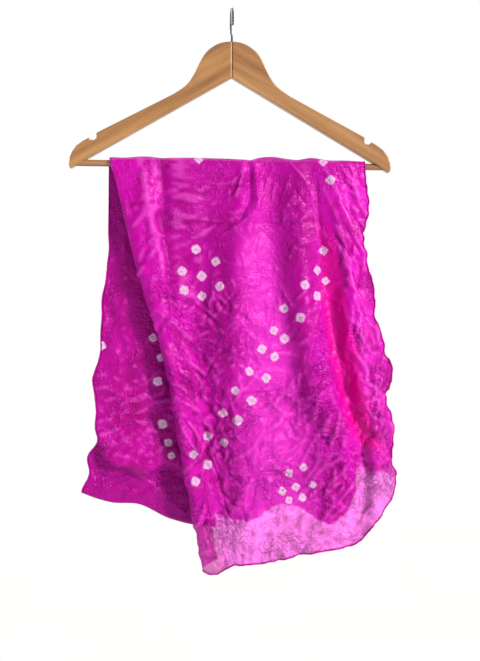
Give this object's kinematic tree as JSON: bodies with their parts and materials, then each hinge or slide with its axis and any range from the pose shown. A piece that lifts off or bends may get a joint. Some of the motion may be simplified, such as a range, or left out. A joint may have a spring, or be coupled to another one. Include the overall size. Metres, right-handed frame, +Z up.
{
  "type": "dupatta stole on a hanger",
  "caption": "Long silk stole with tie-dyed dots, folded once and draped in two plies over the trouser bar of a wooden hanger with a steel wire hook.",
  "frame": {"origin": "inside top of the hook's loop, where it rests on a rail", "axes": "+Z up, +X along the trouser bar to the right as seen from the front, -Y towards the viewer of the front fall"},
  "size_m": [0.4523, 0.0669, 0.7793],
  "materials": {
    "silk": "soft satin",
    "silk_under": "soft satin",
    "hanger_wood": "clear varnish",
    "hook_steel": "bright"
  },
  "bodies": {
    "root": {"front_fall": "silk", "front_under_ply": "silk_under", "back_fall": "silk", "back_return_ply": "silk_under", "front_end_hem": "silk", "front_side_hem": "silk", "left_arm": "hanger_wood", "right_arm": "hanger_wood", "trouser_bar": "hanger_wood", "hook": "hook_steel"}
  },
  "joints": []
}
